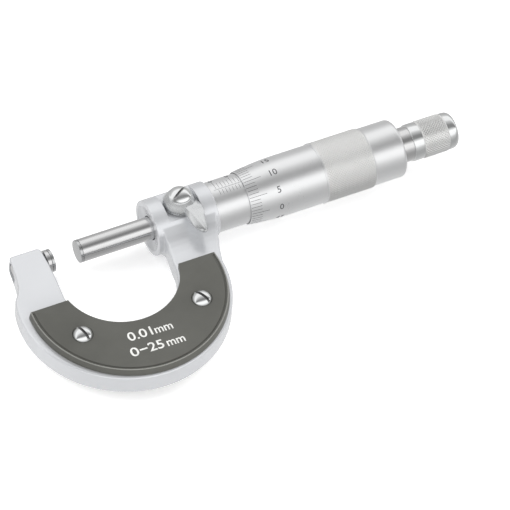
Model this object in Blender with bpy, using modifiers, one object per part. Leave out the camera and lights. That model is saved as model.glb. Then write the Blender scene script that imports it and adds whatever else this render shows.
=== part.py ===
"""Outside micrometer, 0 to 25 mm, drawn open at 7.61 mm.

Metres, +Z up.  The spindle axis is the X axis, the anvil's measuring face is at x = 0 and the
C-frame hangs towards -Y.  The front of the frame faces +Z.
"""
import math

import bmesh
import bpy

MM = 0.001

# driving dimensions, millimetres
GAP = 7.61                 # reading as drawn: anvil face to spindle face
FACE_R = 3.25              # measuring faces and spindle shank
FRAME_H = 3.1              # half thickness of the C-frame plate
RIM_C, RIM_R = (12.45, -20.2), 29.8     # outer edge of the C
THROAT_C, THROAT_R = (13.1, -15.2), 16.2   # inner edge of the C
COVER_C, COVER_R = (12.95, -21.25), 28.1  # outer edge of the front heat cover
REAR_R = 26.8              # outer edge of the rear heat cover, set further in
COVER_IN = 16.75           # inner edge of the heat covers, about THROAT_C
COVER_Y = -18.3            # straight ends of the covers
COVER_Z0, COVER_Z1 = 3.15, 5.3
SCREWS = (("left", -4.6, -30.7), ("right", 30.4, -31.8))
BOSS = (29.0, 47.7, 8.0)   # left end, right end, radius
BORE_R = 5.95
LEVER_X = 38.3             # lock lever axis, parallel to Z
SEAT = (33.2, 43.4, 6.4)   # milled seat across the boss: left wall, right wall, floor
SLEEVE_R = 7.25
ROUND = 36                 # facets around the spindle axis
SMALL = 24                 # facets on small turned pieces

for old in list(bpy.data.objects):
    bpy.data.objects.remove(old, do_unlink=True)

parts = bpy.data.collections.new("outside_micrometer")
cutters = bpy.data.collections.new("cutters")
bpy.context.scene.collection.children.link(parts)
bpy.context.scene.collection.children.link(cutters)


def material(name, colour, metallic, rough):
    mat = bpy.data.materials.new(name)
    mat.use_nodes = True
    bsdf = mat.node_tree.nodes["Principled BSDF"]
    bsdf.inputs["Base Color"].default_value = (*colour, 1.0)
    bsdf.inputs["Metallic"].default_value = metallic
    bsdf.inputs["Roughness"].default_value = rough
    mat.diffuse_color = (*colour, 1.0)
    return mat


SATIN = material("satin_chrome", (0.72, 0.73, 0.75), 1.0, 0.32)
FRAME_PAINT = material("frame_enamel", (0.70, 0.70, 0.74), 0.35, 0.38)
STEEL = material("ground_steel", (0.62, 0.63, 0.65), 1.0, 0.18)
CARBIDE = material("carbide", (0.34, 0.35, 0.37), 1.0, 0.22)
COVER = material("heat_cover", (0.15, 0.15, 0.13), 0.0, 0.48)
CHROME = material("chrome", (0.80, 0.80, 0.82), 1.0, 0.10)
BRASS = material("brass", (0.72, 0.52, 0.22), 1.0, 0.30)


def link(name, mesh, mat, where=parts, at=(0, 0, 0), turn=(0, 0, 0)):
    obj = bpy.data.objects.new(name, mesh)
    where.objects.link(obj)
    obj.location = [v * MM for v in at]
    obj.rotation_euler = turn
    if mat is not None:
        mesh.materials.append(mat)
    if where is cutters:
        obj.hide_render = True
        obj.display_type = "WIRE"
    return obj


def along_x(name, profile, mat, where=parts, steps=ROUND, closed=False, x=0.0):
    """A turned piece on the spindle axis; profile is (x, radius) from the +X end to the -X end."""
    return turned(name, [(r, px - x) for px, r in profile], mat, where, steps, closed,
                  (x, 0, 0), (0, math.pi / 2, 0))


def turned(name, profile, mat, where=parts, steps=SMALL, closed=False, at=(0, 0, 0),
           turn=(0, 0, 0)):
    """A turned piece about its own Z; profile is (radius, height) from top to bottom."""
    mesh = bpy.data.meshes.new(name)
    verts = [(r * MM, 0.0, z * MM) for r, z in profile]
    edges = [(i, i + 1) for i in range(len(verts) - 1)]
    if closed:
        edges.append((len(verts) - 1, 0))
    mesh.from_pydata(verts, edges, [])
    obj = link(name, mesh, mat, where, at, turn)
    screw = obj.modifiers.new("turn", "SCREW")
    screw.angle = math.tau
    screw.steps = screw.render_steps = steps
    screw.use_merge_vertices = True
    screw.merge_threshold = 1e-6
    screw.use_smooth_shade = True
    return obj


def prism(name, outline, z0, z1, mat, where=parts, at=(0, 0, 0)):
    """A plate of a plan outline: a filled flat curve, extruded and made a mesh."""
    curve = bpy.data.curves.new(name + "_outline", "CURVE")
    curve.dimensions = "2D"
    curve.fill_mode = "BOTH"
    curve.extrude = (z1 - z0) / 2 * MM
    spline = curve.splines.new("POLY")
    spline.points.add(len(outline) - 1)
    for point, (x, y) in zip(spline.points, outline):
        point.co = (x * MM, y * MM, 0.0, 1.0)
    spline.use_cyclic_u = True
    return solidify_curve(name, curve, mat, where, at, (z0 + z1) / 2 * MM)


def solidify_curve(name, curve, mat, where, at=(0, 0, 0), lift=0.0):
    """Turn a curve into a welded mesh object and drop the curve."""
    guide = bpy.data.objects.new(name + "_guide", curve)
    bpy.context.scene.collection.objects.link(guide)
    graph = bpy.context.evaluated_depsgraph_get()
    mesh = bpy.data.meshes.new_from_object(guide.evaluated_get(graph))
    bpy.data.objects.remove(guide, do_unlink=True)
    bm = bmesh.new()
    bm.from_mesh(mesh)
    bmesh.ops.remove_doubles(bm, verts=bm.verts, dist=1e-6)
    bmesh.ops.translate(bm, verts=bm.verts, vec=(0.0, 0.0, lift))
    bmesh.ops.recalc_face_normals(bm, faces=bm.faces)
    bm.to_mesh(mesh)
    bm.free()
    mesh.materials.clear()
    mesh.name = name
    return link(name, mesh, mat, where, at)


def loft(name, rings, mat, where=parts, at=(0, 0, 0), turn=(0, 0, 0)):
    """A solid through rings of points, capped at both ends."""
    bm = bmesh.new()
    rows = [[bm.verts.new([c * MM for c in p]) for p in ring] for ring in rings]
    n = len(rings[0])
    for a, b in zip(rows, rows[1:]):
        for i in range(n):
            bm.faces.new((a[i], a[(i + 1) % n], b[(i + 1) % n], b[i]))
    bm.faces.new(list(reversed(rows[0])))
    bm.faces.new(rows[-1])
    bmesh.ops.recalc_face_normals(bm, faces=bm.faces)
    mesh = bpy.data.meshes.new(name)
    bm.to_mesh(mesh)
    bm.free()
    return link(name, mesh, mat, where, at, turn)


def box(name, x0, x1, y0, y1, z0, z1, where=cutters, at=(0, 0, 0), spin=0.0):
    bm = bmesh.new()
    bmesh.ops.create_cube(bm, size=1.0)
    bmesh.ops.scale(bm, verts=bm.verts, vec=[v * MM for v in (x1 - x0, y1 - y0, z1 - z0)])
    bmesh.ops.translate(bm, verts=bm.verts,
                        vec=[v * MM / 2 for v in (x0 + x1, y0 + y1, z0 + z1)])
    mesh = bpy.data.meshes.new(name)
    bm.to_mesh(mesh)
    bm.free()
    return link(name, mesh, None, where, at, (0, 0, spin))


def boolean(obj, cutter, operation="DIFFERENCE"):
    mod = obj.modifiers.new(operation.lower(), "BOOLEAN")
    mod.operation = operation
    mod.solver = "EXACT"
    mod.object = cutter


def bevel(obj, width, segments=2, angle=35):
    mod = obj.modifiers.new("bevel", "BEVEL")
    mod.width = width * MM
    mod.segments = segments
    mod.limit_method = "ANGLE"
    mod.angle_limit = math.radians(angle)
    mod.use_clamp_overlap = True


def arc(centre, radius, a0, a1, step=5.0):
    count = max(2, round(abs(a1 - a0) / step))
    angles = [math.radians(a0 + (a1 - a0) * i / count) for i in range(count + 1)]
    return [(centre[0] + radius * math.cos(a), centre[1] + radius * math.sin(a)) for a in angles]


def smooth(obj, angle=32):
    obj.data.shade_smooth()
    obj.data.set_sharp_from_angle(angle=math.radians(angle))


# ---- C-frame -------------------------------------------------------------------------------
left_arm = [(-3.1, -15.2), (-2.5, -9.0), (-2.2, -3.0), (-2.2, 2.4), (-3.0, 3.2), (-10.4, 3.2),
            (-11.4, 2.4), (-12.4, -3.5), (-13.8, -9.2), (-15.2, -11.2)]
outer = arc(RIM_C, RIM_R, 165.0, 360.0)
right_arm = [(43.4, -16.0), (45.2, -11.0), (46.6, -7.0), (46.9, -2.0), (30.5, -2.0), (30.4, -9.0)]
inner = arc(THROAT_C, THROAT_R, -3.0, -180.0, 6.0)
frame = prism("frame", (left_arm[1:] + outer + right_arm + inner), -FRAME_H, FRAME_H, FRAME_PAINT)
bevel(frame, 0.7, 2, 40)

boss = along_x("boss", [(BOSS[1], 0), (BOSS[1], BOSS[2] - 0.6), (BOSS[1] - 0.2, BOSS[2] - 0.2),
                        (BOSS[1] - 0.7, BOSS[2]), (BOSS[0] + 0.6, BOSS[2]),
                        (BOSS[0] + 0.1, BOSS[2] - 0.3), (BOSS[0], BOSS[2] - 0.8), (BOSS[0], 0)],
               None, cutters)
# the web swells into the boss through a concave fillet
neck_rows = [(-1.0, 30.6, 47.0, 6.9), (-4.0, 30.6, 46.9, 6.4), (-6.0, 30.6, 46.7, 5.4),
             (-7.6, 30.6, 46.3, 4.4), (-9.6, 30.6, 45.5, 3.6), (-12.4, 30.5, 44.4, 3.15),
             (-15.0, 30.4, 43.2, 2.9)]
neck = loft("neck", [[(a, y, -h), (b, y, -h), (b, y, h), (a, y, h)]
                     for y, a, b, h in neck_rows], None, cutters)
boolean(frame, neck, "UNION")
boolean(frame, boss, "UNION")
bore = along_x("bore", [(48.5, 0), (48.5, 7.35), (45.6, 7.35), (45.6, BORE_R), (31.9, BORE_R),
                        (31.9, 3.5), (28.0, 3.5), (28.0, 0)], None, cutters)
boolean(frame, bore)
anvil_bore = along_x("anvil_bore", [(-1.0, 0), (-1.0, 2.25), (-16.0, 2.25), (-16.0, 0)],
                     None, cutters, SMALL)
boolean(frame, anvil_bore)
seat = box("seat", SEAT[0], SEAT[1], -9.0, 9.0, SEAT[2], 12.0)
boolean(frame, seat)
stud_hole = turned("stud_hole", [(0, 12), (2.1, 12), (2.1, 4.0), (0, 4.0)], None, cutters, SMALL,
                   at=(LEVER_X, 0, 0))
boolean(frame, stud_hole)
for side, sx, sy in SCREWS:
    hole = turned("tapped_" + side, [(0, 6), (1.55, 6), (1.55, -6), (0, -6)], None, cutters, 16,
                  at=(sx, sy, 0))
    boolean(frame, hole)
smooth(frame)

# ---- heat covers and their screws ----------------------------------------------------------
notch = math.degrees(math.asin((COVER_Y - THROAT_C[1]) / COVER_IN))
SLOT_SPIN = {"left": math.radians(-74), "right": math.radians(-62)}
for face, sign, radius in (("front", 1, COVER_R), ("rear", -1, REAR_R)):
    z0, z1 = sorted((sign * COVER_Z0, sign * COVER_Z1))
    reach = math.degrees(math.asin((COVER_Y - COVER_C[1]) / radius))
    cover_plan = arc(COVER_C, radius, 180.0 - reach, 360.0 + reach) + arc(
        THROAT_C, COVER_IN, notch, -180.0 - notch, 6.0)
    cover = prism(face + "_cover", cover_plan, z0, z1, COVER)
    bevel(cover, 0.6, 1, 40)
    for side, sx, sy in SCREWS:
        cut = turned(f"cover_hole_{face}_{side}",
                     [(0, 7), (2.95, 7), (2.95, 4.35), (1.6, 4.35), (1.6, 2), (0, 2)],
                     None, cutters, SMALL, at=(sx, sy, 0),
                     turn=(0 if sign > 0 else math.pi, 0, 0))
        boolean(cover, cut)
        head = turned(f"{face}_cover_screw_{side}",
                      [(0, 6.95), (0.9, 6.85), (1.7, 6.5), (2.4, 5.95), (2.83, 5.25), (2.85, 4.4),
                       (1.5, 4.4), (1.5, 0.9), (1.2, 0.5), (0, 0.5)],
                      CHROME, steps=SMALL, at=(sx, sy, 0),
                      turn=(0 if sign > 0 else math.pi, 0, 0))
        slot = box(f"slot_{face}_{side}", -4, 4, -0.4, 0.4, 5.95, 8.0, at=(sx, sy, 0),
                   spin=SLOT_SPIN[side])
        slot.rotation_euler = (0 if sign > 0 else math.pi, 0, SLOT_SPIN[side])
        boolean(head, slot)
        smooth(head)
    smooth(cover)

# ---- anvil ---------------------------------------------------------------------------------
along_x("anvil", [(-0.85, 0), (-0.85, FACE_R), (-1.8, FACE_R), (-2.0, FACE_R - 0.2), (-2.0, 2.2),
                  (-11.1, 2.2), (-11.4, 1.9), (-11.4, 0)], STEEL, steps=SMALL)
along_x("anvil_tip", [(0, 0), (0, FACE_R - 0.12), (-0.12, FACE_R), (-0.8, FACE_R), (-0.8, 0)],
        CARBIDE, steps=SMALL)

# ---- threaded bush, adjusting nut and graduated sleeve ---------------------------------------
bush = along_x("inner_sleeve", [
    (83.0, 4.05), (83.0, 5.3), (82.6, 5.6), (74.0, 5.6), (73.0, 5.9), (32.4, 5.9), (32.1, 5.6),
    (32.1, 3.35), (40.0, 3.35), (40.6, 4.2), (58.0, 4.2), (58.4, 4.05)], STEEL, closed=True)
for k in range(3):
    cut = box(f"bush_slot_{k}", 70.0, 84.0, -0.35, 0.35, 1.0, 7.0)
    cut.rotation_euler = (math.radians(90 + 120 * k), 0, 0)
    boolean(bush, cut)
shoe_hole = turned("shoe_hole", [(0, 8), (1.75, 8), (1.75, 0.5), (0, 0.5)], None, cutters, SMALL,
                   at=(LEVER_X, 0, 0))
boolean(bush, shoe_hole)
nut = along_x("adjusting_nut", [(81.6, 5.75), (81.6, 6.7), (81.3, 6.95), (77.3, 6.95),
                                (77.0, 6.7), (77.0, 5.75)], STEEL, closed=True)
for k in range(2):
    cut = box(f"nut_slot_{k}", 80.4, 83.0, -0.5, 0.5, 5.0, 8.0)
    cut.rotation_euler = (math.pi * k, 0, 0)
    boolean(nut, cut)
sleeve = along_x("sleeve", [(76.2, 6.0), (76.2, 7.0), (75.9, SLEEVE_R), (46.2, SLEEVE_R),
                            (45.9, 7.0), (45.9, 6.0)], SATIN, closed=True)
spanner_hole = turned("spanner_hole", [(0, -4.5), (0.75, -4.5), (0.75, -9), (0, -9)], None,
                      cutters, 16, at=(51.0, 0, 0))
boolean(sleeve, spanner_hole)

# ---- spindle and thimble ---------------------------------------------------------------------
along_x("spindle_tip", [(GAP + 0.8, 0), (GAP + 0.8, FACE_R), (GAP + 0.12, FACE_R),
                        (GAP, FACE_R - 0.12), (GAP, 0)], CARBIDE, steps=ROUND)
THREAD_R, THREAD_X0, THREAD_X1 = 3.85, 49.6, 88.0
along_x("spindle", [(95.5, 0), (96.5, 2.6), (103.6, 2.6), (103.6, 3.5), (98.6, 4.1), (94.0, 4.1),
                    (93.0, 3.5), (88.4, 3.5), (THREAD_X1, THREAD_R), (THREAD_X0, THREAD_R),
                    (49.0, FACE_R), (GAP + 0.85, FACE_R), (GAP + 0.85, 0)], STEEL)
along_x("thimble", [
    (105.4, 3.0), (105.4, 7.3), (105.1, 8.0), (104.4, 8.35), (95.8, 8.35), (95.4, 8.5),
    (95.2, 8.75), (81.0, 8.75), (80.7, 8.5), (66.4, 8.5), (57.2, 7.65), (57.2, 7.4), (98.2, 7.4),
    (98.4, 4.2), (103.7, 3.58), (103.9, 3.0)], SATIN, closed=True)

# ---- ratchet stop ------------------------------------------------------------------------------
TEETH = 12


def toothed(name, mat, where, x0, x1, rise, r0, r1, phase=0.0):
    """A ring of saw teeth about the spindle axis, flat at x0 and toothed at x1."""
    bm = bmesh.new()
    rings = []
    for k in range(TEETH):
        a = math.tau * k / TEETH + phase
        row = []
        for radius in (r0, r1):
            y, z = radius * math.cos(a), radius * math.sin(a)
            row.append([bm.verts.new((px * MM, y * MM, z * MM))
                        for px in (x0, x1, x1 + rise)])
        rings.append(row)
    for k in range(TEETH):
        (ib, il, ih), (ob, ol, oh) = rings[k]
        (nib, nil, nih), (nob, nol, noh) = rings[(k + 1) % TEETH]
        sides = (((ob, oh, ol, noh, nob), (ib, nib, nih, il, ih)) if x0 > x1 else
                 ((ob, ol, noh, nol, nob), (ib, nib, nil, nih, il)))
        for loop in ((ib, ob, nob, nib), (il, ol, noh, nih), (nil, nih, noh, nol)) + sides:
            bm.faces.new(loop)
    bmesh.ops.triangulate(bm, faces=bm.faces)
    bmesh.ops.recalc_face_normals(bm, faces=bm.faces)
    mesh = bpy.data.meshes.new(name)
    bm.to_mesh(mesh)
    bm.free()
    return link(name, mesh, mat, where)


body = along_x("ratchet_body", [
    (112.0, 0), (112.6, 0.9), (118.2, 0.9), (118.2, 1.7), (117.9, 1.9), (110.6, 1.9), (110.6, 4.3), (109.5, 4.3),
    (109.3, 5.0), (105.9, 5.0), (105.6, 4.7), (105.6, 2.5), (97.6, 2.5), (97.2, 2.1), (97.2, 0)],
    STEEL)
teeth = toothed("body_teeth", None, cutters, 110.0, 110.6, 0.5, 2.3, 4.2)
boolean(body, teeth, "UNION")
pawl = toothed("ratchet_pawl", BRASS, parts, 112.5, 110.78, 0.5, 2.3, 4.2, math.radians(2.0))
pawl_key = box("pawl_key", 111.6, 112.3, -0.6, 0.6, 3.3, 4.95)
pawl_key.rotation_euler = (math.radians(17), 0, 0)
boolean(pawl, pawl_key, "UNION")
knob = along_x("ratchet_knob", [
    (122.8, 3.4), (122.8, 4.3), (122.5, 4.7), (121.2, 5.35), (121.0, 5.55), (112.3, 5.55),
    (112.0, 5.3), (110.2, 5.3), (109.9, 5.1), (109.9, 4.55), (116.2, 4.55), (116.4, 2.1),
    (119.6, 2.1), (119.6, 3.4)], CHROME, closed=True)
keyway = box("keyway", 109.0, 115.0, -0.8, 0.8, 4.2, 5.1)
keyway.rotation_euler = (math.radians(17), 0, 0)
boolean(knob, keyway)
end_screw = along_x("ratchet_screw", [
    (121.6, 0), (121.6, 2.6), (121.1, 3.2), (119.9, 3.2), (119.9, 1.85), (118.5, 1.85),
    (118.5, 0.8), (113.4, 0.8), (113.4, 0)], CHROME, steps=SMALL)
end_slot = box("end_slot", 120.9, 123.0, -4, 4, -0.4, 0.4)
boolean(end_screw, end_slot)

# coil spring between the knob's end wall and the pawl
spring_x0, spring_x1, coil_r, wire_r, coils, per_turn = 112.95, 116.0, 3.05, 0.26, 3.0, 12
coil = bpy.data.curves.new("spring_line", "CURVE")
coil.dimensions = "3D"
coil.bevel_depth = wire_r * MM
coil.bevel_resolution = 1
coil.use_fill_caps = True
line = coil.splines.new("POLY")
steps = int(coils * per_turn)
line.points.add(steps)
for i, point in enumerate(line.points):
    a = math.tau * i / per_turn
    point.co = ((spring_x0 + (spring_x1 - spring_x0) * i / steps) * MM,
                coil_r * math.cos(a) * MM, coil_r * math.sin(a) * MM, 1.0)
solidify_curve("ratchet_spring", coil, STEEL, parts)

# ---- spindle lock ------------------------------------------------------------------------------
hub = turned("lock_lever", [(2.1, 10.3), (3.15, 10.3), (3.5, 9.5), (4.1, 8.6), (4.7, 7.7),
                            (4.95, 7.1), (4.95, 6.75), (2.1, 6.75)], CHROME, closed=True, at=(LEVER_X, 0, 0))
tail_rows = [(-2.0, 0.5, 4.6, 0.2, 7.1, 8.7), (-4.0, -0.6, 4.9, 0.2, 7.1, 9.1),
             (-5.5, -0.55, 4.75, 0.5, 7.4, 9.2), (-8.0, -0.4, 4.15, 1.0, 7.5, 9.15),
             (-10.0, -0.15, 3.6, 1.4, 7.5, 9.0), (-11.6, 0.6, 3.1, 1.7, 7.5, 8.7),
             (-12.6, 1.3, 2.6, 1.9, 7.55, 8.4), (-13.0, 1.6, 2.3, 1.95, 7.65, 8.1)]
tail = loft("tail", [[(l, y, a), (r, y, a), (r, y, a + 0.35 * (b - a)), (m + 0.3, y, b),
                      (m - 0.3, y, b), (l, y, a + 0.5 * (b - a))]
                     for y, l, r, m, a, b in tail_rows], None, cutters, at=(LEVER_X, 0, 0))
boolean(hub, tail, "UNION")
smooth(hub)
turned("lock_washer", [(2.3, 6.67), (4.4, 6.67), (4.4, 6.46), (2.3, 6.46)], STEEL, closed=True,
       at=(LEVER_X, 0, 0))
cap = turned("lock_lever_screw", [(0, 11.8), (1.0, 11.7), (1.9, 11.4), (2.6, 10.95), (3.05, 10.4),
                                  (1.0, 10.4), (1.0, 7.6), (0, 7.6)], CHROME,
             at=(LEVER_X, 0, 0))
cap_slot = box("cap_slot", -4, 4, -0.35, 0.35, 11.0, 13.0, at=(LEVER_X, 0, 0),
               spin=math.radians(30))
boolean(cap, cap_slot)
smooth(cap)
turned("lock_stud", [(0, 7.2), (1.1, 7.4), (1.1, 9.2), (2.0, 9.2), (2.0, 6.3), (1.6, 6.1),
                     (1.6, 5.0), (1.4, 4.75), (0, 4.75)], STEEL, at=(LEVER_X, 0, 0))
turned("lock_shoe", [(0, 4.5), (1.5, 4.5), (1.6, 4.4), (1.6, 3.5), (1.5, 3.42), (0, 3.42)],
       BRASS, at=(LEVER_X, 0, 0))
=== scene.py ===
"""Looks for the outside micrometer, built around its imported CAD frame.

Lengths below are in millimetres and turned into metres by MM.  The spindle axis is X, the
anvil's face is at x = 0, the C-frame hangs towards -Y and the front of the frame faces +Z.
"""

import math

import bmesh
import bpy
from mathutils import Matrix, Vector


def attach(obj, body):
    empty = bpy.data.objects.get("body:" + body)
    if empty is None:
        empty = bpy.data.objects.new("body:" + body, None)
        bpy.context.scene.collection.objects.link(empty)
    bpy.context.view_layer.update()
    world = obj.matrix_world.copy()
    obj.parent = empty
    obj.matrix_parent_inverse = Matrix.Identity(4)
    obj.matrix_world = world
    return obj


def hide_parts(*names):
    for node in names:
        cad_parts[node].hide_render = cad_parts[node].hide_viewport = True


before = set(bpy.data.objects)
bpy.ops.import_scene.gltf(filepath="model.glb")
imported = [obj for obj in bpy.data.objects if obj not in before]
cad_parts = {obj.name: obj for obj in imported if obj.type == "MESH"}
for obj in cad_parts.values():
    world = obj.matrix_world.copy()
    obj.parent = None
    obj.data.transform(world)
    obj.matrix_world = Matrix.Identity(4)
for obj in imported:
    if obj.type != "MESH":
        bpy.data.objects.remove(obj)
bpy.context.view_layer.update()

MM = 0.001
TAU = math.tau


# ================================================================== materials
def new_material(name):
    mat = bpy.data.materials.new(name)
    mat.use_nodes = True
    tree = mat.node_tree
    return mat, tree, tree.nodes["Principled BSDF"]


def add(tree, kind, **values):
    """A new node; each value sets the input of that name, or else the node's own property."""
    node = tree.nodes.new(kind)
    for key, value in values.items():
        if key in node.inputs:
            node.inputs[key].default_value = value
        else:
            setattr(node, key, value)
    return node


def object_coords(tree, scale=(1, 1, 1)):
    coords = add(tree, "ShaderNodeTexCoord")
    mapping = add(tree, "ShaderNodeMapping", Scale=scale)
    tree.links.new(coords.outputs["Object"], mapping.inputs["Vector"])
    return mapping.outputs["Vector"]


def noise(tree, vector, scale, detail):
    node = add(tree, "ShaderNodeTexNoise", Scale=scale, Detail=detail, Roughness=0.55)
    tree.links.new(vector, node.inputs["Vector"])
    return node.outputs["Fac"]


def ramp(tree, fac, stops):
    """Map fac through (position, value) stops, each value a grey level or a colour."""
    node = add(tree, "ShaderNodeValToRGB")
    ends = node.color_ramp.elements
    while len(ends) < len(stops):
        ends.new(0.5)
    for element, (at, colour) in zip(ends, stops):
        element.position = at
        if not hasattr(colour, "__len__"):
            colour = (colour,) * 3
        element.color = (*colour, 1.0)
    tree.links.new(fac, node.inputs["Fac"])
    return node.outputs["Color"]


def bump(tree, bsdf, height, strength, distance):
    node = add(tree, "ShaderNodeBump", Strength=strength, Distance=distance)
    tree.links.new(height, node.inputs["Height"])
    tree.links.new(node.outputs["Normal"], bsdf.inputs["Normal"])


def metal(name, colour, rough, spread, tint, turned=0.0, brushed=0.0, smudge=70.0,
          metallic=1.0):
    """Metal whose roughness and tint drift a little, with turning marks around X or a grain.

    spread is the drift of the roughness, tint how much darker the smudges are, and smudge their
    scale; turned or brushed is the strength of the marks.
    """
    mat, tree, bsdf = new_material(name)
    bsdf.inputs["Metallic"].default_value = metallic
    cloud = noise(tree, object_coords(tree), smudge, 4.0)
    dark = [c * (1 - tint) for c in colour]
    tree.links.new(ramp(tree, cloud, ((0.3, dark), (0.7, colour))), bsdf.inputs["Base Color"])
    # turning marks are rings: fine along the axis and long around it
    fine = object_coords(tree, (9000, 260, 260) if turned else (900, 900, 900))
    grain = noise(tree, fine, 1.0, 2.0)
    mix = add(tree, "ShaderNodeMix", data_type="FLOAT", Factor=0.5)
    tree.links.new(cloud, mix.inputs["A"])
    tree.links.new(grain, mix.inputs["B"])
    level = ramp(tree, mix.outputs["Result"], ((0.3, max(rough - spread, 0.02)),
                                               (0.7, rough + spread)))
    tree.links.new(level, bsdf.inputs["Roughness"])
    if turned or brushed:
        bump(tree, bsdf, grain, turned or brushed, 0.00002)
    return mat


def enamel(name, colour, rough):
    """Sprayed enamel: a faint orange peel under a soft gloss."""
    mat, tree, bsdf = new_material(name)
    vector = object_coords(tree)
    cloud = noise(tree, vector, 45.0, 3.0)
    dark = [c * 0.94 for c in colour]
    tree.links.new(ramp(tree, cloud, ((0.3, dark), (0.7, colour))), bsdf.inputs["Base Color"])
    peel = noise(tree, vector, 1500.0, 2.0)
    tree.links.new(ramp(tree, cloud, ((0.3, rough - 0.02), (0.7, rough + 0.03))),
                   bsdf.inputs["Roughness"])
    bsdf.inputs["Metallic"].default_value = 0.5
    bsdf.inputs["Coat Weight"].default_value = 0.3
    bsdf.inputs["Coat Roughness"].default_value = 0.25
    bump(tree, bsdf, peel, 0.03, 0.00002)
    return mat


def moulded(name, colour, rough):
    """Moulded or painted cover with a fine spark-eroded texture and faint handling shine."""
    mat, tree, bsdf = new_material(name)
    vector = object_coords(tree)
    cloud = noise(tree, vector, 60.0, 4.0)
    light = [min(c * 1.22 + 0.006, 1.0) for c in colour]
    tree.links.new(ramp(tree, cloud, ((0.3, colour), (0.75, light))), bsdf.inputs["Base Color"])
    tree.links.new(ramp(tree, cloud, ((0.3, rough + 0.06), (0.75, rough - 0.06))),
                   bsdf.inputs["Roughness"])
    grain = noise(tree, vector, 3200.0, 2.0)
    bump(tree, bsdf, grain, 0.16, 0.00003)
    return mat


def ink(name, colour, rough=0.6):
    """Flat ink or paint whose coverage varies a little."""
    mat, tree, bsdf = new_material(name)
    cloud = noise(tree, object_coords(tree), 900.0, 3.0)
    light = [min(c * 1.35 + 0.01, 1.0) for c in colour]
    tree.links.new(ramp(tree, cloud, ((0.35, colour), (0.75, light))), bsdf.inputs["Base Color"])
    bsdf.inputs["Roughness"].default_value = rough
    return mat


SATIN = metal("satin_chrome", (0.81, 0.815, 0.82), 0.31, 0.04, 0.03, turned=0.08, metallic=0.9)
KNURLED = metal("knurled_chrome", (0.90, 0.90, 0.89), 0.42, 0.05, 0.04)
STEEL = metal("ground_steel", (0.70, 0.70, 0.70), 0.15, 0.03, 0.04, turned=0.05)
CHROME = metal("polished_chrome", (0.80, 0.81, 0.81), 0.09, 0.03, 0.03, smudge=120.0)
LEVER = metal("lever_chrome", (0.68, 0.69, 0.695), 0.27, 0.05, 0.05, brushed=0.05)
CARBIDE = metal("carbide", (0.58, 0.585, 0.59), 0.18, 0.03, 0.04)
# rough steel for the screw slots, darker than the heads: the darkness is painted shade inside the
# slot
SLOT_SHADE_STEEL = metal("slot_steel_painted_shade", (0.46, 0.46, 0.46), 0.45, 0.05, 0.15, brushed=0.1)
BRASS = metal("brass", (0.78, 0.58, 0.27), 0.28, 0.07, 0.12, brushed=0.12)
ENAMEL = enamel("frame_enamel", (0.66, 0.67, 0.69), 0.24)
COVER = moulded("heat_cover", (0.073, 0.073, 0.064), 0.42)
# a lighter, glossier copy of the cover for the top of its bead: a painted highlight along the
# outer edge
BEAD_PAINTED_HIGHLIGHT = moulded("heat_cover_bead_painted_highlight", (0.20, 0.20, 0.185), 0.30)
INK = ink("scale_ink", (0.035, 0.035, 0.04))
LETTER = ink("cover_print", (0.66, 0.66, 0.64), 0.5)


# ================================================================== mesh helpers
def linked(name, data):
    """A new object in the scene for a mesh, curve, light or camera."""
    obj = bpy.data.objects.new(name, data)
    bpy.context.scene.collection.objects.link(obj)
    return obj


def finish_mesh(bm, name, mat, body, sharp=30.0, replaces=(), weld=True):
    """Turn a bmesh into a finished piece, see place."""
    if weld:
        bmesh.ops.remove_doubles(bm, verts=bm.verts, dist=1e-7)
    bmesh.ops.recalc_face_normals(bm, faces=bm.faces)
    mesh = bpy.data.meshes.new(name)
    bm.to_mesh(mesh)
    bm.free()
    return place(mesh, name, mat, body, sharp, replaces)


def place(mesh, name, mat, body, sharp=30.0, replaces=()):
    """Show a mesh as a piece of a CAD body; edges over sharp degrees stay crisp."""
    mesh.shade_smooth()
    mesh.set_sharp_from_angle(angle=math.radians(sharp))
    mesh.materials.clear()
    mesh.materials.append(mat)
    obj = linked(name, mesh)
    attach(obj, body)
    if replaces:
        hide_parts(*replaces)
    return obj


def baked(obj):
    """The evaluated mesh of a working object, which is then removed."""
    graph = bpy.context.evaluated_depsgraph_get()
    mesh = bpy.data.meshes.new_from_object(obj.evaluated_get(graph))
    mesh.transform(obj.matrix_world)
    bpy.data.objects.remove(obj, do_unlink=True)
    return mesh


def working(name, bm):
    """An object still to be cut or joined, from a bmesh."""
    bmesh.ops.recalc_face_normals(bm, faces=bm.faces)
    mesh = bpy.data.meshes.new(name)
    bm.to_mesh(mesh)
    bm.free()
    return linked(name, mesh)


def combine(obj, other, operation="DIFFERENCE"):
    """Boolean obj with another working object, which is dropped."""
    mod = obj.modifiers.new("cut", "BOOLEAN")
    mod.operation = operation
    mod.solver = "EXACT"
    mod.object = other
    name = obj.name
    mesh = baked(obj)
    bpy.data.objects.remove(other, do_unlink=True)
    return linked(name, mesh)


def bevel(obj, width):
    """Round the sharp edges of a working object."""
    mod = obj.modifiers.new("edge", "BEVEL")
    mod.width = width * MM
    mod.segments = 3
    mod.limit_method = "ANGLE"
    mod.angle_limit = math.radians(50)


def rounded(points, radius, bits=4):
    """Round the inner corners of an open run of (a, b) points."""
    out = [points[0]]
    for before, here, after in zip(points, points[1:], points[2:]):
        here = Vector(here)
        a, b = Vector(before) - here, Vector(after) - here
        cut = min(radius, a.length * 0.45, b.length * 0.45)
        start, end = here + a.normalized() * cut, here + b.normalized() * cut
        for k in range(bits + 1):
            t = k / bits
            out.append(tuple(start * (1 - t) ** 2 + here * 2 * t * (1 - t) + end * t ** 2))
    return out + [points[-1]]


def on_barrel(x, r, phi):
    """The point at x and radius r, turned by phi about X from straight up; in metres."""
    return x * MM, r * MM * math.sin(phi), r * MM * math.cos(phi)


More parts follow.
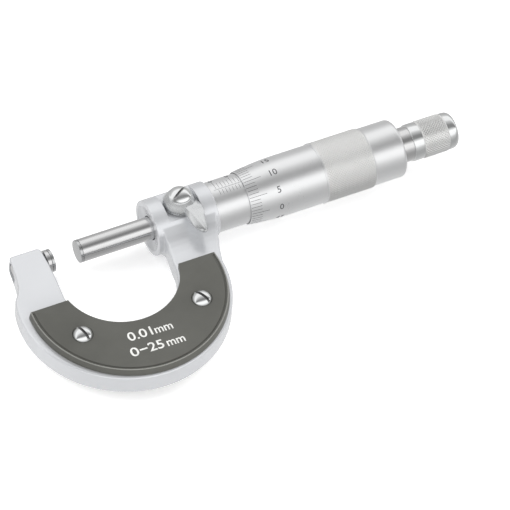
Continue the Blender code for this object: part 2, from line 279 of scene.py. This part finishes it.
def lathe_x(bm, profile, steps=128, closed=False):
    """Turn (x, radius) points about the X axis; a radius of 0 closes on the axis."""
    rings = []
    for x, r in profile:
        if r < 1e-6:
            rings.append([bm.verts.new((x * MM, 0, 0))])
        else:
            rings.append([bm.verts.new(on_barrel(x, r, TAU * k / steps))
                          for k in range(steps)])
    pairs = list(zip(rings, rings[1:]))
    if closed:
        pairs.append((rings[-1], rings[0]))
    for a, b in pairs:
        for k in range(steps):
            n = (k + 1) % steps
            if len(a) == 1 and len(b) == 1:
                continue
            if len(a) == 1:
                bm.faces.new((a[0], b[k], b[n]))
            elif len(b) == 1:
                bm.faces.new((a[k], a[n], b[0]))
            else:
                bm.faces.new((a[k], a[n], b[n], b[k]))


def turned(name, profile, mat, body, replaces=(), slot=None, steps=128, closed=False, sharp=30.0):
    """A finished piece turned about X."""
    bm = bmesh.new()
    lathe_x(bm, profile, steps, closed)
    return finish_mesh(bm, name, mat, body, sharp, replaces)


def turned_working(name, profile, steps=96):
    bm = bmesh.new()
    lathe_x(bm, profile, steps)
    return working(name, bm)


def upright(obj, x=0.0, y=0.0):
    """Swing a piece turned about X so that its +X end points to +Z, on an axis at (x, y)."""
    obj.matrix_world = (Matrix.Translation((x * MM, y * MM, 0))
                        @ Matrix.Rotation(-math.pi / 2, 4, "Y"))
    bpy.context.view_layer.update()
    return obj


def cuboid(name, x0, x1, y0, y1, z0, z1, spin=0.0):
    """A block between the given planes, turned by spin about Z."""
    bm = bmesh.new()
    bmesh.ops.create_cube(bm, size=1.0)
    bmesh.ops.scale(bm, verts=bm.verts, vec=((x1 - x0) * MM, (y1 - y0) * MM, (z1 - z0) * MM))
    bmesh.ops.translate(bm, verts=bm.verts, vec=[v * MM / 2 for v in (x0 + x1, y0 + y1, z0 + z1)])
    obj = working(name, bm)
    obj.matrix_world = Matrix.Rotation(spin, 4, "Z")
    bpy.context.view_layer.update()
    return obj


def slab(name, outline, z0, z1):
    """A plate of an outline in plan."""
    bm = bmesh.new()
    face = bm.faces.new([bm.verts.new((x * MM, y * MM, z0 * MM)) for x, y in outline])
    up = bmesh.ops.extrude_face_region(bm, geom=[face])
    bmesh.ops.translate(bm, verts=[g for g in up["geom"] if isinstance(g, bmesh.types.BMVert)],
                        vec=(0, 0, (z1 - z0) * MM))
    return working(name, bm)


def arc(centre, radius, a0, a1, step=2.0):
    """Points of an arc in plan, from a0 to a1 degrees."""
    count = max(2, round(abs(a1 - a0) / step))
    angles = [math.radians(a0 + (a1 - a0) * i / count) for i in range(count + 1)]
    return [(centre[0] + radius * math.cos(a), centre[1] + radius * math.sin(a)) for a in angles]


# ================================================================== dimensions, as in the CAD
GAP = 7.61                                      # between the measuring faces
RIM_C, RIM_R = (12.45, -20.2), 29.8             # the frame's outer arc
THROAT_C, THROAT_R = (13.1, -15.2), 16.2        # the frame's inner arc
WEB_HALF = 3.1                                  # half of the frame's thickness
COVER_C, COVER_R, REAR_R = (12.95, -21.25), 28.1, 26.8
COVER_IN, COVER_Y = 16.75, -18.3                # the covers' inner radius and straight ends
COVER_Z0, COVER_Z1 = 3.15, 5.3
SCREWS = (("left", -4.6, -30.7, -74.0), ("right", 30.4, -31.8, -62.0))  # x, y, slot's angle
BOSS_X0, BOSS_X1, BOSS_R = 29.0, 47.7, 8.0
SEAT_X0, SEAT_X1, SEAT_Z = 33.2, 43.4, 6.25     # the milled flat under the lever
LEVER_X = 38.3
SPINDLE_R = 3.25                                # and of both measuring faces
SLEEVE_X0, SLEEVE_X1, SLEEVE_BORE, SLEEVE_R = 45.9, 76.2, 6.0, 7.25
ZERO_X = 49.59                                  # the sleeve's zero line
THIMBLE_X = ZERO_X + GAP                        # the thimble's graduated edge


# ================================================================== C-frame
def build_frame():
    left_arm = [(-2.5, -9.0), (-2.2, -3.0), (-2.2, 2.4), (-2.9, 3.2), (-11.0, 3.3),
                (-11.5, 2.8), (-12.4, -3.5), (-13.2, -6.9), (-14.4, -9.3), (-15.9, -11.3)]
    right_arm = [(43.4, -16.0), (45.2, -11.0), (46.6, -7.0), (46.9, -2.0), (30.5, -2.0),
                 (30.4, -9.0)]
    plan = (left_arm + arc(RIM_C, RIM_R, 165.0, 360.0) + right_arm
            + arc(THROAT_C, THROAT_R, -3.0, -180.0))
    plate = slab("frame_casting", plan, -WEB_HALF, WEB_HALF)
    bevel(plate, 0.55)
    boss = turned_working("boss", [(BOSS_X1, 0), (BOSS_X1, BOSS_R), (BOSS_X0, BOSS_R),
                                   (BOSS_X0, 0)])
    # the web swells into the boss through a concave fillet: y, two ends in x, half thickness
    rows = [(-1.0, 30.6, 47.0, 6.9), (-4.0, 30.6, 46.9, 6.4), (-6.0, 30.6, 46.7, 5.4),
            (-7.0, 30.6, 46.5, 4.8), (-8.2, 30.6, 46.1, 4.1), (-9.6, 30.6, 45.5, 3.6),
            (-11.2, 30.5, 44.9, 3.3), (-13.0, 30.5, 44.1, 3.12), (-15.0, 30.4, 43.2, 2.95)]
    bm = bmesh.new()
    rings = [[bm.verts.new((x * MM, y * MM, z * MM)) for x, z in
              ((a, -h), (b, -h), (b, h), (a, h))] for y, a, b, h in rows]
    for low, high in zip(rings, rings[1:]):
        for i in range(4):
            bm.faces.new((low[i], low[(i + 1) % 4], high[(i + 1) % 4], high[i]))
    bm.faces.new(rings[0])
    bm.faces.new(rings[-1])
    neck = working("neck", bm)
    body = combine(combine(plate, neck, "UNION"), boss, "UNION")
    # a fine skin over the union, relaxed so that every edge gets a cast and painted radius
    remesh = body.modifiers.new("skin", "REMESH")
    remesh.mode = "VOXEL"
    remesh.voxel_size = 0.22 * MM
    relax = body.modifiers.new("relax", "SMOOTH")
    relax.factor = 0.5
    relax.iterations = 10
    body = linked("frame_casting", baked(body))
    cuts = [
        turned_working("bore", [(48.5, 0), (48.5, 7.6), (47.6, 7.6), (47.4, 7.35), (45.6, 7.35),
                                (45.6, 5.95), (31.9, 5.95), (31.9, 3.5), (29.65, 3.5),
                                (29.55, 3.65), (29.2, 6.4), (28.8, 6.8), (28.0, 6.8), (28.0, 0)]),
        turned_working("anvil_bore", [(-1.0, 0), (-1.0, 2.25), (-10.6, 2.25), (-10.6, 2.75),
                                      (-16.0, 2.75), (-16.0, 0)], 64),
        cuboid("seat", SEAT_X0, SEAT_X1, -9, 9, SEAT_Z, 12),
        upright(turned_working("stud_hole", [(12, 0), (12, 2.1), (4, 2.1), (4, 0)], 48), LEVER_X),
    ]
    cuts += [upright(turned_working("tapped", [(6, 0), (6, 1.55), (-6, 1.55), (-6, 0)], 32), x, y)
             for _, x, y, _ in SCREWS]
    for cut in cuts:
        body = combine(body, cut)
    return place(baked(body), "frame_casting", ENAMEL, "frame", 38.0, ("frame",))


build_frame()


# ================================================================== covers and screws
def second_material(mesh, mat, faces):
    mesh.materials.append(mat)
    for i in faces:
        mesh.polygons[i].material_index = 1


def slotted_screw(name, node, body, profile, at, spin, half_slot, floor, turn=0.0):
    """A turned head with a slot cut by a saw, whose walls and floor get a rougher, darker steel:
    the darkness is painted shade in the slot.

    The slot runs at spin degrees, half_slot to each side, down to floor; turn swings the screw
    about X to face the back.
    """
    screw = linked(name, baked(upright(turned_working(name, profile, 72))))
    mesh = baked(combine(screw, cuboid("slot", -4, 4, -half_slot, half_slot, floor, 14,
                                       math.radians(spin))))
    across = Vector((-math.sin(math.radians(spin)), math.cos(math.radians(spin)), 0))
    # the slot's walls and floor, which get the darker steel as painted shade
    slot_shade_faces = [f.index for f in mesh.polygons
            if abs(f.center.dot(across)) < (half_slot + 0.01) * MM
            and f.center.z > (floor - 0.01) * MM]
    mesh.transform(Matrix.Translation((at[0] * MM, at[1] * MM, 0))
                   @ Matrix.Rotation(turn, 4, "X"))
    place(mesh, name, CHROME, body, 32.0, (node,))
    second_material(mesh, SLOT_SHADE_STEEL, slot_shade_faces)


COVER_SCREW = [(6.95, 0), (6.93, 0.5), (6.82, 1.05), (6.6, 1.6), (6.25, 2.1), (5.8, 2.5),
               (5.3, 2.78), (5.0, 2.85), (4.4, 2.85), (4.4, 1.5), (0.9, 1.5), (0.5, 1.2), (0.5, 0)]
COVER_HOLE = [(7, 0), (7, 2.87), (4.35, 2.87), (4.35, 1.6), (2, 1.6), (2, 0)]
BEAD_WIDTH, GROOVE_WIDTH, GROOVE_DEPTH = 0.34, 0.61, 0.38
FLANK_LEAN = 0.5        # how far the outer flank leans in over its height


def build_cover(face, sign, radius):
    """A C-shaped cover; sign is +1 for the front and -1 for the rear."""
    turn = 0.0 if sign > 0 else math.pi
    reach = math.degrees(math.asin((COVER_Y - COVER_C[1]) / radius))
    notch = math.degrees(math.asin((COVER_Y - THROAT_C[1]) / COVER_IN))
    plan = (arc(COVER_C, radius, 180.0 - reach, 360.0 + reach)
            + arc(THROAT_C, COVER_IN, notch, -180.0 - notch))
    plate = slab("cover", plan, *sorted((sign * COVER_Z0, sign * COVER_Z1)))
    # a groove inside the top edge leaves a raised bead
    outer = radius - BEAD_WIDTH
    groove = slab("groove", arc(COVER_C, outer, 175.2, 364.8)
                  + arc(COVER_C, outer - GROOVE_WIDTH, 364.8, 175.2),
                  *sorted((sign * (COVER_Z1 - GROOVE_DEPTH), sign * (COVER_Z1 + 0.5))))
    plate = combine(plate, groove)
    bevel(plate, 0.15)
    plate = linked("cover", baked(plate))
    for _, x, y, _ in SCREWS:
        hole = upright(turned_working("hole", COVER_HOLE, 64))
        hole.matrix_world = (Matrix.Translation((x * MM, y * MM, 0))
                             @ Matrix.Rotation(turn, 4, "X") @ hole.matrix_world)
        bpy.context.view_layer.update()
        plate = combine(plate, hole)
    mesh = baked(plate)
    middle = Vector((COVER_C[0] * MM, COVER_C[1] * MM, 0))

    def from_middle(point):
        return Vector((point.x, point.y, 0)) - middle

    # the top faces along the outer edge, which get the lighter material as a painted highlight
    bead_highlight_faces = [f.index for f in mesh.polygons if abs(f.center.z) > (COVER_Z1 - 0.17) * MM
            and from_middle(f.center).length > (outer - 0.02) * MM]
    # the outer flank leans in towards the top and takes the bead and the groove with it
    for v in mesh.vertices:
        out = from_middle(v.co)
        rise = (abs(v.co.z) / MM - COVER_Z0) / (COVER_Z1 - COVER_Z0)
        near = (out.length / MM - radius + 1.6) / 0.6
        lean = FLANK_LEAN * min(max(rise, 0), 1) * min(max(near, 0), 1) * MM
        leant = middle + out.normalized() * (out.length - lean)
        v.co.x = leant.x
        if v.co.y < (COVER_Y - 0.2) * MM:       # the straight ends stay flat
            v.co.y = leant.y
    place(mesh, face + "_cover_plate", COVER, "frame", 30.0, (face + "_cover",))
    second_material(mesh, BEAD_PAINTED_HIGHLIGHT, bead_highlight_faces)
    for side, x, y, spin in SCREWS:
        slotted_screw(f"{face}_screw_{side}", f"{face}_cover_screw_{side}", "frame",
                      COVER_SCREW, (x, y), spin, 0.4, 5.6, turn)


build_cover("front", 1, COVER_R)
build_cover("rear", -1, REAR_R)


# ================================================================== anvil, spindle, sleeve
turned("anvil_shank", rounded([(-0.85, 0), (-0.85, 3.25), (-1.98, 3.25), (-2.0, 2.2),
                               (-11.4, 2.2), (-11.4, 0)], 0.2), STEEL, "frame",
       ("anvil",), "ground_steel", 96)
turned("anvil_face", rounded([(0, 0), (0, SPINDLE_R), (-0.8, SPINDLE_R), (-0.8, 0)], 0.1), CARBIDE,
       "frame", ("anvil_tip",), "carbide", 96)
turned("spindle_face",
       rounded([(GAP + 0.8, 0), (GAP + 0.8, SPINDLE_R), (GAP, SPINDLE_R), (GAP, 0)], 0.1),
       CARBIDE, "spindle_carrier", ("spindle_tip",), "carbide", 96)


def thread(x1, x0, crest, root, pitch):
    """A thread's crests and roots, drawn as rings from x1 down to x0."""
    out, x = [], x1
    while x > x0 + pitch:
        out += [(x, root), (x - pitch * 0.5, crest)]
        x -= pitch
    return out


turned("spindle_shaft",
       [(95.5, 0), (96.5, 2.6), (103.6, 2.6), (103.6, 3.5), (98.6, 4.1), (94.0, 4.1),
        (93.0, 3.5), (88.4, 3.5)] + thread(88.0, 49.9, 3.84, 3.55, 0.5)
       + [(49.4, 3.5), (49.0, SPINDLE_R), (GAP + 0.86, SPINDLE_R), (GAP + 0.86, 0)],
       STEEL, "spindle_thimble", ("spindle",), "ground_steel", 96, sharp=40.0)
turned("graduated_sleeve",
       rounded([(SLEEVE_X1, SLEEVE_BORE), (SLEEVE_X1, SLEEVE_R), (SLEEVE_X0, SLEEVE_R),
                (SLEEVE_X0, SLEEVE_BORE)], 0.25),
       SATIN, "sleeve", ("sleeve",), "satin_chrome", 144, closed=True)

GRIP_X0, GRIP_X1, GRIP_R = 80.7, 95.3, 8.52     # the thimble's knurled band, to its roots
THIMBLE_LINE = ((57.2, 7.66), (59.5, 7.93), (62.0, 8.18), (64.5, 8.38), (67.0, 8.50),
                (70.0, 8.55))


def thimble_radius(x):
    """Outer radius of the thimble's bevel at x."""
    for (xa, ra), (xb, rb) in zip(THIMBLE_LINE, THIMBLE_LINE[1:]):
        if x <= xb:
            return ra + (rb - ra) * (x - xa) / (xb - xa)
    return THIMBLE_LINE[-1][1]


turned("thimble_barrel",
       [(105.3, 3.0), (105.3, 7.55), (105.25, 7.7), (105.05, 7.95), (104.8, 8.15),
        (104.5, 8.29), (104.1, 8.35), (95.8, 8.35), (95.55, 8.42), (95.35, 8.6),
        (GRIP_X1, GRIP_R), (80.72, GRIP_R), (80.68, 8.74), (80.58, 8.8), (80.4, 8.8),
        (80.28, 8.74), (80.22, 8.55)] + list(reversed(THIMBLE_LINE))
       + [(57.17, 7.6), (57.17, 7.45), (57.3, 7.4), (98.2, 7.4), (98.4, 4.2), (103.7, 3.58),
          (103.9, 3.0)],
       SATIN, "spindle_thimble", ("thimble",), "satin_chrome", 160, closed=True, sharp=28.0)


# ================================================================== knurls
def knurl(name, x0, x1, base, height, around, body):
    """A band of pyramids between two crossing sets of V-grooves, closed at both ends.

    around is the number of grooves of each set, and a pyramid is four columns by four rows.
    """
    pitch = TAU * (base + height) / around
    rows = max(4, round((x1 - x0) / pitch * 4))
    cols = around * 4
    bm = bmesh.new()
    rings = []
    for i in range(rows + 1):
        along = i / 4.0
        x = x0 + (x1 - x0) * i / rows
        fade = min(1.0, 0.25 + min(i, rows - i) / 3.0)
        ring = []
        for k in range(cols):
            turn = k / 4.0
            a, b = (turn + along) % 1.0, (turn - along) % 1.0
            lift = min(1 - abs(2 * a - 1), 1 - abs(2 * b - 1))
            r = base + height * min(lift * 1.15, 0.92) * fade
            ring.append(bm.verts.new(on_barrel(x, r, TAU * k / cols)))
        rings.append(ring)
    inner = base - 0.12
    caps = [[bm.verts.new(on_barrel(x, inner, TAU * k / cols)) for k in range(cols)]
            for x in (x0, x1)]
    for a, b in zip([caps[0]] + rings, rings + [caps[1]]):
        for k in range(cols):
            n = (k + 1) % cols
            bm.faces.new((a[k], a[n], b[n], b[k]))
    for k in range(cols):
        n = (k + 1) % cols
        bm.faces.new((caps[1][k], caps[1][n], caps[0][n], caps[0][k]))
    return finish_mesh(bm, name, KNURLED, body, 20.0, weld=False)


knurl("thimble_knurl", GRIP_X0, GRIP_X1, GRIP_R, 0.22, 66, "spindle_thimble")


# ================================================================== ratchet stop
turned("ratchet_collar",
       [(112.0, 0), (112.6, 0.9), (118.2, 0.9), (118.2, 1.7), (117.9, 1.9), (110.0, 1.9),
        (109.9, 4.2), (108.95, 4.25), (108.75, 4.4), (108.65, 4.8), (108.45, 4.92), (105.95, 4.92),
        (105.7, 4.82), (105.6, 4.65), (105.6, 2.5), (97.6, 2.5), (97.2, 2.1), (97.2, 0)],
       CHROME, "spindle_thimble", (), "ground_steel", 128, sharp=35.0)
turned("ratchet_knob_shell",
       [(123.0, 3.4), (123.15, 3.6), (123.2, 4.0), (123.12, 4.35), (122.9, 4.65), (122.6, 4.92),
        (122.2, 5.15), (121.7, 5.27), (120.4, 5.3), (120.2, 5.25), (120.1, 5.15), (112.4, 5.15),
        (112.25, 5.3), (111.9, 5.35), (109.6, 5.35), (109.35, 5.28), (109.2, 5.1), (109.15, 4.55),
        (116.2, 4.55), (116.4, 2.1), (119.6, 2.1), (119.6, 3.4)],
       CHROME, "ratchet_knob", ("ratchet_knob",), "bright_chrome", 144, closed=True, sharp=35.0)
knurl("ratchet_knob_knurl", 112.35, 120.15, 5.18, 0.34, 40, "ratchet_knob")


# ================================================================== lock lever
def curve_at(rows, t):
    """Smooth interpolation through equally weighted rows, t from 0 to 1."""
    along = t * (len(rows) - 1)
    i = min(int(along), len(rows) - 2)
    u = along - i
    p0, p1, p2, p3 = (rows[max(0, min(len(rows) - 1, i + d))] for d in (-1, 0, 1, 2))
    return [0.5 * (2 * b + (c - a) * u + (2 * a - 5 * b + 4 * c - d) * u * u
                   + (3 * b - a - 3 * c + d) * u ** 3) for a, b, c, d in zip(p0, p1, p2, p3)]


def build_lever():
    """A domed hub, and a tapering tail with a ridge that runs from the hub to the tip."""
    hub = turned_working("hub", [(10.35, 0), (10.35, 3.0), (10.25, 3.18), (9.95, 3.34),
                                 (9.5, 3.55), (9.0, 3.82), (8.5, 4.1), (8.0, 4.36),
                                 (7.6, 4.55), (7.3, 4.66), (7.1, 4.7), (6.9, 4.7), (6.8, 4.62),
                                 (6.75, 4.45), (6.75, 0)], 128)
    upright(hub)
    # each row: distance down the tail, left edge, right edge, ridge, underside, ridge height
    rows = [(-1.0, 1.2, 4.3, 1.9, 7.1, 8.8), (-2.2, 0.2, 4.7, 0.9, 7.1, 9.15),
            (-4.0, -0.65, 4.95, 0.25, 7.1, 9.3), (-5.6, -0.6, 4.75, 0.5, 7.35, 9.3),
            (-8.0, -0.45, 4.15, 0.95, 7.5, 9.2), (-10.0, -0.2, 3.6, 1.35, 7.5, 9.05),
            (-11.4, 0.4, 3.2, 1.6, 7.5, 8.85), (-12.3, 1.0, 2.8, 1.8, 7.55, 8.6),
            (-12.85, 1.5, 2.4, 1.9, 7.7, 8.3), (-13.0, 1.8, 2.1, 1.95, 7.85, 8.05)]
    bm = bmesh.new()
    rings = []
    for k in range(61):
        y, left, right, ridge, low, top = curve_at(rows, k / 60.0)
        # the flanks slope from the ridge to these two heights
        left_z, right_z = low + 0.42 * (top - low) + 0.06, low + 0.34 * (top - low) + 0.06
        crown = top - 0.06
        section = [(left + 0.12, low), (left, low + 0.12), (left, left_z - 0.16),
                   (left + 0.1, left_z)]
        section += [(left + 0.1 + (ridge - left - 0.4) * t, left_z + (crown - left_z) * t)
                    for t in (0.25, 0.5, 0.75, 1.0)]
        section += [(ridge, top)]
        section += [(ridge + 0.3 + (right - ridge - 0.4) * t, crown + (right_z - crown) * t)
                    for t in (0.0, 0.25, 0.5, 0.75, 1.0)]
        section += [(right, right_z - 0.16), (right, low + 0.12), (right - 0.12, low)]
        rings.append([bm.verts.new((x * MM, y * MM, z * MM)) for x, z in section])
    count = len(rings[0])
    for a, b in zip(rings, rings[1:]):
        for i in range(count):
            bm.faces.new((a[i], a[(i + 1) % count], b[(i + 1) % count], b[i]))
    bm.faces.new(rings[0])
    bm.faces.new(rings[-1])
    body = combine(hub, working("tail", bm), "UNION")
    hole = upright(turned_working("hole", [(12, 0), (12, 2.1), (5, 2.1), (5, 0)], 48))
    mesh = baked(combine(body, hole))
    mesh.transform(Matrix.Translation((LEVER_X * MM, 0, 0)))
    place(mesh, "lock_lever_body", LEVER, "lock_lever", 40.0, ("lock_lever",))
    slotted_screw("lock_lever_cap", "lock_lever_screw", "lock_lever",
                  [(11.85, 0), (11.83, 0.45), (11.76, 0.9), (11.63, 1.35), (11.44, 1.8),
                   (11.18, 2.25), (10.86, 2.65), (10.6, 2.9), (10.5, 3.02), (10.42, 3.0),
                   (10.4, 2.8), (10.4, 1.0), (7.6, 1.0), (7.6, 0)],
                  (LEVER_X, 0), 30, 0.36, 11.0)


build_lever()


# ================================================================== graduations
INK_LIFT, INK_SINK = 0.012, 0.03        # how far ink stands above and reaches below a surface


def strip(bm, x0, x1, radius, phi0, phi1):
    """A thin filled line laid on a turned surface; radius is a function of x."""
    nx = max(1, round((x1 - x0) / 0.8))
    na = max(1, round((phi1 - phi0) / TAU * 128))
    grid, low = ([[bm.verts.new(on_barrel(x, radius(x) + lift, phi0 + (phi1 - phi0) * j / na))
                   for j in range(na + 1)]
                  for x in (x0 + (x1 - x0) * i / nx for i in range(nx + 1))]
                 for lift in (INK_LIFT, -INK_SINK))
    for i in range(nx):
        for j in range(na):
            bm.faces.new((grid[i][j], grid[i + 1][j], grid[i + 1][j + 1], grid[i][j + 1]))
            bm.faces.new((low[i][j], low[i][j + 1], low[i + 1][j + 1], low[i + 1][j]))
    for i in range(nx):
        bm.faces.new((grid[i][0], low[i][0], low[i + 1][0], grid[i + 1][0]))
        bm.faces.new((grid[i][na], grid[i + 1][na], low[i + 1][na], low[i][na]))
    for j in range(na):
        bm.faces.new((grid[0][j], grid[0][j + 1], low[0][j + 1], low[0][j]))
        bm.faces.new((grid[nx][j], low[nx][j], low[nx][j + 1], grid[nx][j + 1]))


def text_mesh(text, size, depth=0.06, bold=0.0):
    """Text as a mesh centred on the origin, its digits size millimetres high, lying in XY."""
    curve = bpy.data.curves.new("text", "FONT")
    curve.body = text
    curve.size = size * MM * 1.35
    curve.align_x = "CENTER"
    curve.align_y = "CENTER"
    curve.extrude = depth * MM / 2
    curve.offset = bold * MM
    curve.resolution_u = 4
    obj = linked("text", curve)
    bpy.context.view_layer.update()
    return baked(obj)


def wrapped_text(bm, text, size, x, phi, radius):
    """Lay a numeral on a turned surface: it reads along +X and its top points to larger phi."""
    mesh = text_mesh(text, size)
    piece = bmesh.new()
    piece.from_mesh(mesh)
    bmesh.ops.remove_doubles(piece, verts=piece.verts, dist=1e-7)
    # long straight strokes need points along them to follow the curve of the barrel
    bmesh.ops.triangulate(piece, faces=piece.faces)
    for _ in range(4):
        long = [e for e in piece.edges if e.calc_length() > 0.28 * MM]
        if not long:
            break
        bmesh.ops.subdivide_edges(piece, edges=long, cuts=1)
        bmesh.ops.triangulate(piece, faces=piece.faces)
    middle = sum(v.co.y for v in piece.verts) / len(piece.verts)
    for v in piece.verts:
        at_x = x + v.co.x / MM
        r = radius(at_x)
        v.co = on_barrel(at_x, r + INK_LIFT + v.co.z / MM - INK_SINK,
                         phi + (v.co.y - middle) / MM / r)
    piece.to_mesh(mesh)
    piece.free()
    bm.from_mesh(mesh)
    bpy.data.meshes.remove(mesh)


def build_sleeve_scale():
    """The datum line, millimetres on one side of it and half millimetres on the other."""
    bm = bmesh.new()
    half = 0.045

    def barrel(_):
        return SLEEVE_R

    def ring_line(x, low, high):
        strip(bm, x - half, x + half, barrel, math.radians(low), math.radians(high))

    strip(bm, ZERO_X - 0.8, 76.0, barrel, -half / SLEEVE_R, half / SLEEVE_R)
    for mm in range(26):
        x = ZERO_X + mm
        ring_line(x, 3.0, 27.0 if mm % 5 == 0 else 20.0)
        if mm < 25:
            ring_line(x + 0.5, -15.0, -3.0)
        if mm % 5 == 0:
            wrapped_text(bm, str(mm), 1.7, x, math.radians(37.0), barrel)
    finish_mesh(bm, "sleeve_scale", INK, "sleeve", 40.0, weld=False)


def build_thimble_scale():
    """Fifty divisions; the one on the sleeve's datum line reads the hundredths of GAP."""
    at_datum = (GAP % 0.5) / 0.01
    bm = bmesh.new()
    half = 0.055 / 8.0
    for n in range(50):
        phi = (n - at_datum) * TAU / 50
        reach = 5.3 if n % 5 == 0 else 3.2
        strip(bm, THIMBLE_X + 0.15, THIMBLE_X + reach, thimble_radius, phi - half, phi + half)
        if n % 5 == 0:
            wrapped_text(bm, str(n), 2.0, THIMBLE_X + 8.9, phi, thimble_radius)
    finish_mesh(bm, "thimble_scale", INK, "spindle_thimble", 40.0, weld=False)


build_sleeve_scale()
build_thimble_scale()


COVER_PRINT = (     # text, its ends in x, its foot in y and the height of its digits
    ("0.01", 6.1, 13.15, -37.9, 3.05), ("mm", 13.9, 19.0, -37.9, 2.8),
    ("0", 4.6, 6.95, -43.1, 3.1), ("–", 7.35, 9.6, -41.8, 2.9),
    ("25", 9.9, 14.2, -43.1, 3.1), ("mm", 15.1, 20.3, -43.1, 2.8))


def build_cover_print():
    """The range and the graduation, generic data printed on the front cover."""
    bm = bmesh.new()
    lean = math.radians(-1.5)
    for text, x0, x1, y, tall in COVER_PRINT:
        mesh = text_mesh(text, tall, 0.05, 0.12 if text == "–" else 0.04)
        low = min(v.co.x for v in mesh.vertices)
        high = max(v.co.x for v in mesh.vertices)
        base = min(v.co.y for v in mesh.vertices)
        drop = (x0 - 5.0) * math.tan(lean)
        mesh.transform(Matrix.Translation((x0 * MM, (y + drop) * MM, (COVER_Z1 + 0.015) * MM))
                       @ Matrix.Rotation(lean, 4, "Z")
                       @ Matrix.Diagonal(((x1 - x0) * MM / (high - low), 1, 1, 1))
                       @ Matrix.Translation((-low, -base, 0)))
        bm.from_mesh(mesh)
        bpy.data.meshes.remove(mesh)
    finish_mesh(bm, "cover_range_print", LETTER, "frame", 40.0)


build_cover_print()


# ================================================================== CAD nodes that stay
KEPT = {"inner_sleeve": STEEL, "adjusting_nut": STEEL, "ratchet_spring": STEEL,
        "ratchet_pawl": BRASS, "ratchet_screw": CHROME, "ratchet_body": STEEL,
        "lock_stud": STEEL, "lock_washer": STEEL, "lock_shoe": BRASS}
for node, mat in KEPT.items():
    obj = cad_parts[node]
    mesh = obj.data
    # flat normals stored with the facets would hide the smooth shading
    if "custom_normal" in mesh.attributes:
        mesh.attributes.remove(mesh.attributes["custom_normal"])
    mesh.shade_smooth()
    mesh.materials.clear()
    mesh.materials.append(mat)
    weld = obj.modifiers.new("weld", "WELD")
    weld.merge_threshold = 0.002 * MM
    split = obj.modifiers.new("crease", "EDGE_SPLIT")
    split.split_angle = math.radians(28)


# ================================================================== floor, light, camera
def floor_height(x, y):
    """The surface that the knurl, the boss and a rear screw rest on."""
    return -6.874 - 0.0237 * x + 0.0059 * y


def build_stage():
    """A pale sheet with a little glow of its own, as paper has under strong light."""
    bm = bmesh.new()
    size = 900
    corners = [(-size, -size), (size, -size), (size, size), (-size, size)]
    bm.faces.new([bm.verts.new((x * MM, y * MM, floor_height(x, y) * MM)) for x, y in corners])
    mesh = bpy.data.meshes.new("floor")
    bm.to_mesh(mesh)
    bm.free()
    mat, tree, bsdf = new_material("floor_paper")
    cloud = noise(tree, object_coords(tree), 300.0, 2.0)
    tree.links.new(ramp(tree, cloud, ((0.3, 0.90), (0.7, 0.92))), bsdf.inputs["Base Color"])
    bsdf.inputs["Roughness"].default_value = 0.8
    bsdf.inputs["Specular IOR Level"].default_value = 0.2
    bsdf.inputs["Emission Color"].default_value = (1, 1, 1, 1)
    bsdf.inputs["Emission Strength"].default_value = 0.38
    mesh.materials.append(mat)
    floor = linked("floor", mesh)
    floor.visible_glossy = False


def area_light(name, at, size, power):
    """A soft lamp at a place in metres, turned to the object."""
    data = bpy.data.lights.new(name, "AREA")
    data.shape = "RECTANGLE"
    data.size, data.size_y = size
    data.energy = power
    obj = linked(name, data)
    obj.location = at
    obj.rotation_mode = "QUATERNION"
    obj.rotation_quaternion = (Vector((0.04, -0.015, 0)) - obj.location).to_track_quat("-Z", "Y")
    # the cards of the tent are what the metal mirrors; the lamps only fill
    obj.visible_glossy = False


def build_light():
    """A light tent: a big card over the front, another over the back and a gap between them."""
    world = bpy.data.worlds.new("studio")
    bpy.context.scene.world = world
    world.use_nodes = True
    tree = world.node_tree
    back = tree.nodes["Background"]
    coords = add(tree, "ShaderNodeTexCoord")
    split = add(tree, "ShaderNodeSeparateXYZ")
    tree.links.new(coords.outputs["Generated"], split.inputs["Vector"])
    # the angle about the spindle axis, from straight up (0) towards the back (+)
    turn = add(tree, "ShaderNodeMath", operation="ARCTAN2")
    tree.links.new(split.outputs["Y"], turn.inputs[0])
    tree.links.new(split.outputs["Z"], turn.inputs[1])
    part = add(tree, "ShaderNodeMapRange")
    part.inputs["From Min"].default_value = -math.pi
    part.inputs["From Max"].default_value = math.pi
    tree.links.new(turn.outputs["Value"], part.inputs["Value"])
    # degrees and brightness, card by card
    stops = ((-180, 0.70), (-160, 0.58), (-125, 0.45), (-105, 0.45), (-84, 0.68), (-68, 1.20),
             (-44, 1.30), (-34, 0.74), (-24, 0.30), (-8, 0.28), (14, 0.66), (28, 1.06),
             (56, 1.12), (72, 0.64), (96, 0.50), (116, 0.60), (136, 0.72), (160, 0.76),
             (180, 0.66))
    stops = [((a + 180.0) / 360.0, v) for a, v in stops]
    tree.links.new(ramp(tree, part.outputs["Result"], stops), back.inputs["Color"])
    back.inputs["Strength"].default_value = 1.0
    area_light("left", (-0.62, 0.30, 0.80), (1.0, 1.0), 5.5)
    area_light("right", (0.90, -0.05, 0.75), (0.5, 0.6), 3.5)
    area_light("low", (-0.10, -1.00, 0.22), (0.8, 0.5), 4.0)


def build_camera():
    """A long lens above the anvil's side of the frame, tilted a little about its own axis."""
    at = Vector((-415.162, -849.795, 1165.923)) * MM
    aim = Vector((52.363, -19.938, 0.0)) * MM
    roll = math.radians(5.2332)
    data = bpy.data.cameras.new("camera")
    data.sensor_width = 36.0
    data.lens = 386.4
    data.clip_start, data.clip_end = 0.05, 20.0
    camera = linked("camera", data)
    camera.matrix_world = (Matrix.Translation(at)
                           @ (aim - at).to_track_quat("-Z", "Y").to_matrix().to_4x4()
                           @ Matrix.Rotation(roll, 4, "Z"))
    bpy.context.scene.camera = camera
    bpy.context.scene.view_settings.view_transform = "Standard"


build_stage()
build_light()
build_camera()
